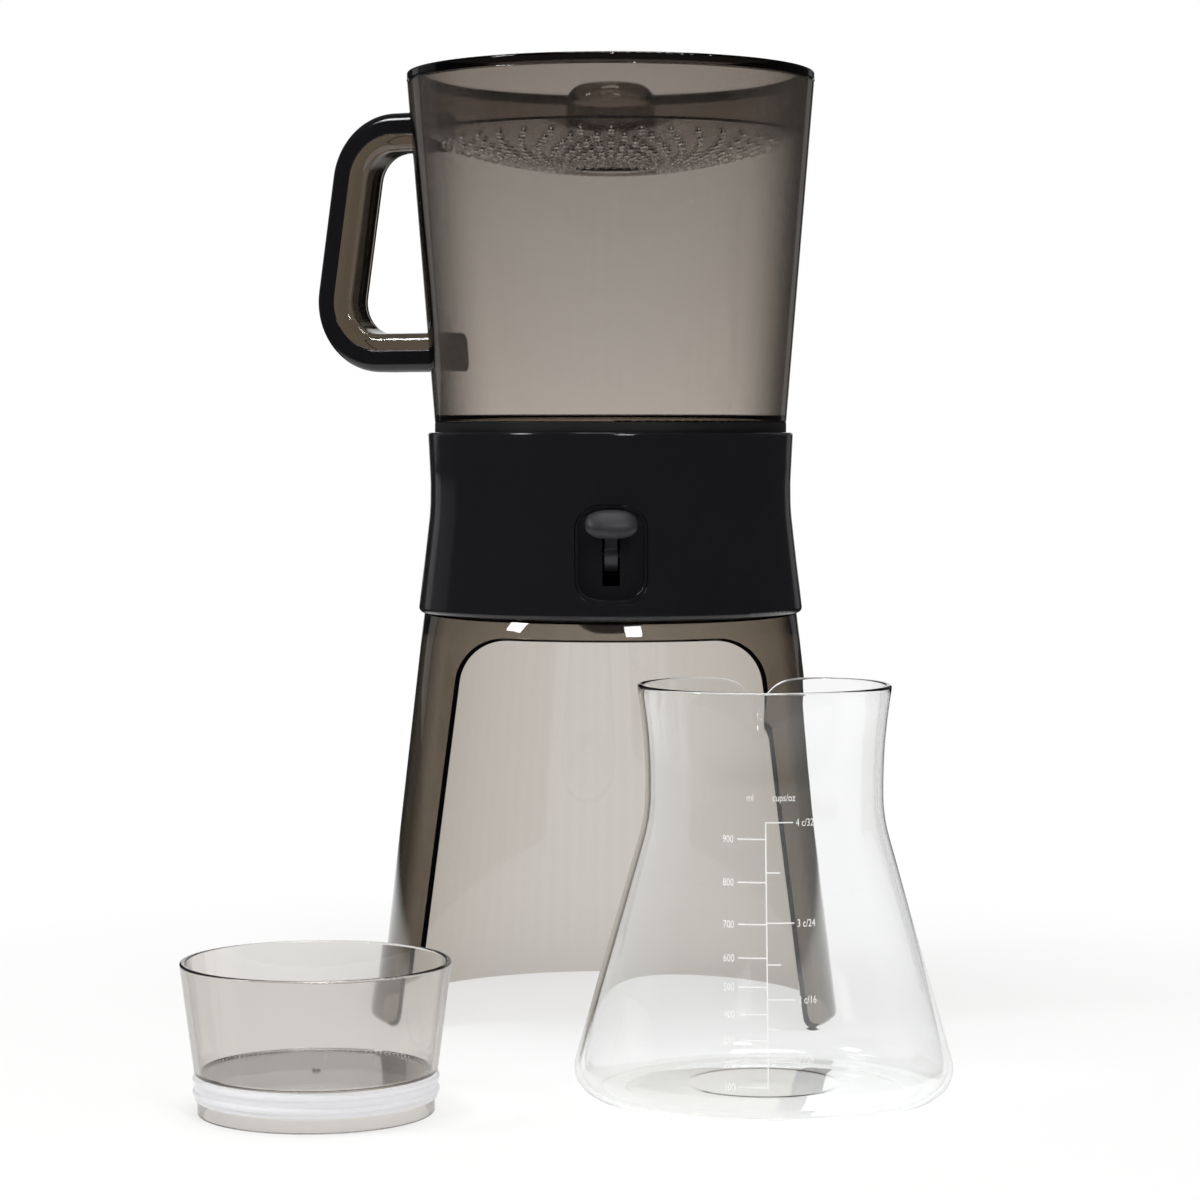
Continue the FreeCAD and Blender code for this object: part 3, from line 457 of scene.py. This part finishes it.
dress(clear_moulding("deep_smoke_styrene_moulded", deep_smoke_per_metre, styrene_ior, mould_gloss,
                     mould_waves, container_edge, thicker_upwards), "brew_container")
lid_smoke = clear_moulding("lid_smoke_styrene_moulded", lid_smoke_per_metre, styrene_ior, mould_gloss,
                           mould_waves, open_edge, black_flange)
dress(lid_smoke, "drip_lid")
grip = moulded_plastic("gloss_black_grip", "#141416", 0.08, 0.14, 0.0016, 0.000006, 0.0008)
dress(grip, "handle_strip")

handle_turn = math.radians(154)
handle_arms = (368.0, 274.6)                      # heights of the middles of the upper and lower arm
handle_corners = ((117.6, 368.0), (131.8, 274.6))   # where the grip's line meets the arms' lines
handle_bend = 22.0
handle_roots = (81.5, 74.5)                       # where the arms start, just inside the wall
handle_side = 10.0
core_inner, core_outer = -8.2, -1.03              # from the middle of the loop, with a hair's gap
core_rounding = 4.0
core_edge = 0.3                                   # rounding of the edges beside the outer half
wall_gap = 0.03                                   # between the bar's ends and the container's wall
container_foot = 244.6
container_foot_radius, container_rim_radius = 73.1, 84.3


def smoke_bar():
    """The handle's inner half, swept along the loop and ended on the container's wall."""
    outward = Vector((math.cos(handle_turn), math.sin(handle_turn), 0))
    sideways = Vector((-math.sin(handle_turn), math.cos(handle_turn), 0))
    loop = rounded_chain([(handle_roots[0], handle_arms[0], 0), (*handle_corners[0], handle_bend),
                          (*handle_corners[1], handle_bend), (handle_roots[1], handle_arms[1], 0)], 60, 3.0)
    section = rounded_chain([(0, core_inner, 0), (handle_side, core_inner, core_rounding),
                             (handle_side, core_outer, core_edge), (-handle_side, core_outer, core_edge),
                             (-handle_side, core_inner, core_rounding), (0, core_inner, 0)], 8, 4.0)[:-1]
    wall_slope = (container_rim_radius - container_foot_radius) / (container_high.z * 1000 - container_foot)
    bm = bmesh.new()
    rows = []
    for index, here in enumerate(loop):
        along = (loop[min(index + 1, len(loop) - 1)] - loop[max(index - 1, 0)]).normalized()
        away = Vector((-along.y, along.x))
        row = []
        for side, out in section:
            reach, height = here + away * out
            wall = container_foot_radius + wall_slope * (height - container_foot) + wall_gap
            reach = max(reach, math.sqrt(wall ** 2 - side ** 2))
            row.append(bm.verts.new((outward * reach + sideways * side) / 1000
                                    + Vector((stand_middle.x, stand_middle.y, height / 1000))))
        rows.append(row)
    for row, after in zip(rows, rows[1:]):
        for first in range(len(row)):
            second = (first + 1) % len(row)
            bm.faces.new((row[first], row[second], after[second], after[first]))
    for end in (rows[0], rows[-1]):
        bm.faces.new(end)
    bmesh.ops.recalc_face_normals(bm, faces=bm.faces)
    return bm


core_smoke = clear_moulding("handle_smoke_styrene_moulded", tuple(0.55 * loss for loss in smoke_per_metre),
                            styrene_ior, mould_gloss, mould_waves, painted_edge_shade)
core = finish_mesh(smoke_bar(), "smoke_handle_bar", core_smoke)
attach(core, "brewer")
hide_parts("handle_core")


# ---- nubs under the drip holes ----
# Under the dish each hole runs out through a small round nub, so that the water falls in drops and doesn't
# run along the plastic. The nubs are moulded with the lid, and each bends the light like a bead.
hole_outer_ring = 68.6
hole_ring_ratio = 0.9
hole_rings = 12
holes_per_ring = 36
nub_radius = 1.45
nub_half_height = 1.15
nub_bore = 0.15
nub_drop = 1.04               # from the dish to the nub's middle, in half heights
nub_profile_steps = 10
nub_turn_steps = 16
nub_waves = 0.00001
# painted edge shade of the nubs, which gives each a dark outline
nub_edge = (0.35, 0.85, 0.03)
dish_under_radius = 226.0
dish_under_drop = 39.6        # from the lid's top down to the lowest point of the dish's underside


def drip_nubs():
    nub = bmesh.new()
    side = []
    for step in range(nub_profile_steps + 1):
        rise = math.radians(-90 + 180 / nub_profile_steps * step)
        side.append(nub.verts.new((nub_bore + (nub_radius - nub_bore) * math.cos(rise), 0,
                                   nub_half_height * (math.sin(rise) - nub_drop))))
    edges = [nub.edges.new(pair) for pair in zip(side, side[1:] + side[:1])]
    bmesh.ops.spin(nub, geom=side + edges, axis=(0, 0, 1), cent=(0, 0, 0), steps=nub_turn_steps,
                   angle=math.tau, use_merge=True)
    nub_mesh = bpy.data.meshes.new("drip_nub")
    nub.to_mesh(nub_mesh)
    nub.free()
    bm = bmesh.new()
    centre = Vector((stand_middle.x, stand_middle.y, lid_high.z)) * 1000
    centre.z += dish_under_radius - dish_under_drop
    for row in range(hole_rings):
        lean = math.asin(hole_outer_ring * hole_ring_ratio ** row / dish_under_radius)
        for index in range(holes_per_ring):
            turn = math.tau * (index + row % 2 / 2) / holes_per_ring
            copy = nub_mesh.copy()
            copy.transform(Matrix.Scale(0.001, 4) @ Matrix.Translation(centre) @ Matrix.Rotation(turn, 4, "Z")
                           @ Matrix.Rotation(-lean, 4, "Y") @ Matrix.Translation((0, 0, -dish_under_radius)))
            bm.from_mesh(copy)
            bpy.data.meshes.remove(copy)
    bpy.data.meshes.remove(nub_mesh)
    bmesh.ops.recalc_face_normals(bm, faces=bm.faces)
    return bm


nub_smoke = clear_moulding("nub_smoke_styrene_moulded", tuple(0.3 * loss for loss in smoke_per_metre),
                           styrene_ior, mould_gloss, nub_waves, nub_edge)
nubs = finish_mesh(drip_nubs(), "drip_nubs", nub_smoke)
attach(nubs, "lid")


# ---- stopper cup ----
# The cup is the same clear plastic with less tint, and its seal is milky silicone. The hollow skirt under
# the seal has painted shade, darker than the cup's wall.
# painted edge shade of the cup
cup_edge = (0.62, 0.94, 0.2)
skirt_share = 0.78            # painted shade: share of the wall's colour left in the skirt
seal_blend = 0.001            # metres to each side of the seal's foot in which one turns into the other
seal_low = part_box("stopper_seal")[0]


def deeper_skirt(tree, place):
    """Painted shade: the hollow skirt under the seal is darkened in colour, as shade from the cup's floor
    above it.
    """
    return add(tree, "ShaderNodeMapRange",
               {"Value": height_in(tree, place), "From Min": seal_low.z - seal_blend,
                "From Max": seal_low.z + seal_blend, "To Min": skirt_share, "To Max": 1.0}).outputs["Result"]


light_smoke = clear_moulding("light_smoke_styrene_moulded", tuple(0.5 * loss for loss in smoke_per_metre),
                             styrene_ior, mould_gloss, mould_waves, cup_edge, deeper_skirt)
dress(light_smoke, "stopper_cup")


def milky_silicone():
    material, tree = start_material("milky_silicone")
    place = add(tree, "ShaderNodeTexCoord").outputs["Object"]
    cloud = add(tree, "ShaderNodeTexNoise", {"Vector": place, "Scale": 1000 / 6, "Detail": 4.0})
    skin = add(tree, "ShaderNodeTexNoise", {"Vector": place, "Scale": 1000 / 0.6, "Detail": 2.0})
    relief = add(tree, "ShaderNodeBump", {"Height": skin.outputs["Fac"], "Distance": 0.00001,
                                          "Strength": 1.0})
    face = add(tree, "ShaderNodeBsdfPrincipled",
               {"Base Color": linear("#f0f0f3"), "Roughness": roughness(tree, cloud, 0.35, 0.5), "IOR": 1.41,
                "Subsurface Weight": 0.5, "Subsurface Radius": (1.0, 1.0, 1.0), "Subsurface Scale": 0.001,
                "Normal": relief.outputs["Normal"]})
    add(tree, "ShaderNodeOutputMaterial", {"Surface": face.outputs[0]})
    return material


dress(milky_silicone(), "stopper_seal")


# ---- carafe ----
# A conical flask of clear borosilicate glass, blown in a mould and fire polished at the rim, where a
# pouring dip is pressed in while the glass is soft. Its floor is pushed up a little in the middle.
flask_height = 149.4
flask_wall = 2.0
flask_heel_corner = 72.2
flask_heel_radius = 10.0
flask_slope = 0.2854
flask_neck_radius = 43.2
flask_neck_bend = 60.0
flask_flare_height = 128.0
flask_flare_bend = 200.0
flask_rim_radius = 46.3
flask_foot_radius = 50.0
flask_push_up = 2.2
flask_floor_bend = 30.0
flask_foot_bend = 20.0
# painted edge shade of the glass
glass_edge = (0.83, 1.0, 0.35)
glass_loss_per_metre = (7, 5, 6)
glass_ior = 1.474
dip_depth = 10.0
dip_half_width = 5.0
dip_flare = 3.0
dip_root = 119.0
carafe_low, carafe_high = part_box("carafe_glass")
carafe_axis = Vector(((carafe_low.x + carafe_high.x) / 2, (carafe_low.y + carafe_high.y) / 2, 0))


def flask_side(inset):
    """Corners of the glass from its foot to under the rim, drawn in by an inset."""
    lean = inset * math.sqrt(1 + flask_slope ** 2)
    heel = flask_heel_corner - lean - flask_slope * inset
    neck = flask_neck_radius - inset
    neck_z = (flask_heel_corner - lean - neck) / flask_slope
    return [(0, inset + flask_push_up, 0),
            (flask_foot_radius * 0.55, inset + flask_push_up * 0.8, flask_floor_bend),
            (flask_foot_radius, inset, flask_foot_bend), (heel, inset, flask_heel_radius - inset),
            (neck, neck_z, flask_neck_bend + inset), (neck, flask_flare_height, flask_flare_bend)]


rim_round = flask_wall * 0.48
flask_corners = flask_side(0) + [(flask_rim_radius, flask_height, rim_round),
                                 (flask_rim_radius - flask_wall, flask_height, rim_round)]
flask_corners += flask_side(flask_wall)[::-1]
flask_chain = rounded_chain(flask_corners, 12, 4.0)


def blown_flask():
    bm = bmesh.new()
    line = [bm.verts.new((r / 1000, 0, z / 1000)) for r, z in flask_chain]
    edges = [bm.edges.new(pair) for pair in zip(line, line[1:])]
    bmesh.ops.spin(bm, geom=line + edges, axis=(0, 0, 1), cent=(0, 0, 0), steps=240,
                   angle=math.tau, use_merge=True)
    bmesh.ops.remove_doubles(bm, verts=bm.verts, dist=1e-6)
    for vert in bm.verts:
        rise = (vert.co.z * 1000 - dip_root) / (flask_height - dip_root)
        if rise <= 0:
            continue
        along = flask_rim_radius * (math.atan2(vert.co.y, vert.co.x) - math.pi / 2)
        near = 1 / (1 + (along / dip_half_width) ** 2)
        rise = min(rise, 1)
        pull = rise * rise * (3 - 2 * rise)
        outward = Vector((vert.co.x, vert.co.y, 0)).normalized()
        vert.co += outward * dip_flare / 1000 * near * pull ** 2
        vert.co.z -= dip_depth / 1000 * near * pull
    bmesh.ops.recalc_face_normals(bm, faces=bm.faces)
    bmesh.ops.translate(bm, verts=bm.verts, vec=carafe_axis)
    return bm


borosilicate = clear_moulding("clear_borosilicate_blown", glass_loss_per_metre, glass_ior, (0.0, 0.012),
                              0.00002, glass_edge)
carafe = finish_mesh(blown_flask(), "carafe", borosilicate)
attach(carafe, "carafe")
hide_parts("carafe_glass")


# ---- carafe's scale ----
# The scale is white enamel printed on the outside of the glass: a line up the middle with ticks, and
# plain numbers for millilitres on the left, and for cups and fluid ounces on the right.
scale_middle = -1.5           # of the upright line, along the glass from the middle of its front
scale_foot, scale_top = 14.0, 103.7
line_width = 0.45
millilitres = {900: 97.9, 800: 83.2, 700: 69.0, 600: 57.7, 500: 48.0, 400: 38.9, 300: 30.2, 200: 22.2,
               100: 14.7}
ounces = {"4 c/32": 103.7, "3 c/24": 69.5, "2 c/16": 43.8, "1 c/8": 24.0}
half_cups = (86.5, 55.5, 34.0)
print_thickness = 0.05
print_gap = 0.02              # between the print and the glass
letter_height = 2.6
letter_narrowing = 0.72
units_height = 112.5


def glass_radius(z):
    """Radius of the outside of the glass at a height."""
    outside = flask_chain[:len(flask_chain) // 2]
    for (r0, z0), (r1, z1) in zip(outside, outside[1:]):
        if z0 <= z <= z1 and z1 > z0 and r0 > flask_foot_radius * 0.8:
            return r0 + (r1 - r0) * (z - z0) / (z1 - z0)
    return flask_neck_radius


def printed_scale():
    bm = bmesh.new()

    def stroke(x0, x1, z0, z1, across, up):
        grid = bmesh.ops.create_grid(bm, x_segments=across, y_segments=up, size=0.5)["verts"]
        middle = Vector(((x0 + x1) / 2, (z0 + z1) / 2, 0))
        bmesh.ops.scale(bm, vec=(x1 - x0, z1 - z0, 1), verts=grid)
        bmesh.ops.translate(bm, vec=middle, verts=grid)

    def lettering(text, height, x, z, align):
        letters = bpy.data.curves.new("lettering", "FONT")
        letters.body = text
        letters.size = height / 0.7
        letters.align_x = align
        letters.resolution_u = 3
        flat = bpy.data.objects.new("lettering", letters)
        mesh = bpy.data.meshes.new_from_object(flat)
        narrow = Matrix.Diagonal((letter_narrowing, 1, 1, 1))
        mesh.transform(Matrix.Translation((x, z - height / 2, 0)) @ narrow)
        bm.from_mesh(mesh)
        bpy.data.objects.remove(flat)
        bpy.data.meshes.remove(mesh)

    half = line_width / 2
    stroke(scale_middle - half, scale_middle + half, scale_foot, scale_top, 1, 40)
    for amount, z in millilitres.items():
        stroke(scale_middle - 10.0, scale_middle, z - half, z + half, 8, 1)
        lettering(str(amount), letter_height, scale_middle - 11.4, z, "RIGHT")
    for words, z in ounces.items():
        stroke(scale_middle, scale_middle + 9.7, z - half, z + half, 8, 1)
        lettering(words, letter_height, scale_middle + 10.7, z, "LEFT")
    for z in half_cups:
        stroke(scale_middle, scale_middle + 4.9, z - half, z + half, 4, 1)
    lettering("ml", letter_height, scale_middle - 5.5, units_height, "CENTER")
    lettering("cups/oz", letter_height, scale_middle + 6.4, units_height, "CENTER")
    bmesh.ops.solidify(bm, geom=bm.faces, thickness=print_thickness)
    for vert in bm.verts:
        x, z, depth = vert.co
        radius = glass_radius(z) + print_gap + abs(depth)
        turn = x / glass_radius(z) - math.pi / 2
        vert.co = Vector((radius * math.cos(turn), radius * math.sin(turn), z)) / 1000 + carafe_axis
    bmesh.ops.recalc_face_normals(bm, faces=bm.faces)
    return bm


def white_enamel():
    material, tree = start_material("white_enamel_print")
    place = add(tree, "ShaderNodeTexCoord").outputs["Object"]
    speck = add(tree, "ShaderNodeTexNoise", {"Vector": place, "Scale": 1000 / 0.5, "Detail": 3.0})
    shade = add(tree, "ShaderNodeMixRGB",
                {0: speck.outputs["Fac"], 1: linear("#f4f4f2"), 2: linear("#fdfdfc")})
    face = add(tree, "ShaderNodeBsdfPrincipled",
               {"Base Color": shade.outputs[0], "Roughness": 0.4, "IOR": 1.5})
    add(tree, "ShaderNodeOutputMaterial", {"Surface": face.outputs[0]})
    return material


scale_print = finish_mesh(printed_scale(), "carafe_scale_print", white_enamel(), smooth=False)
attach(scale_print, "carafe")
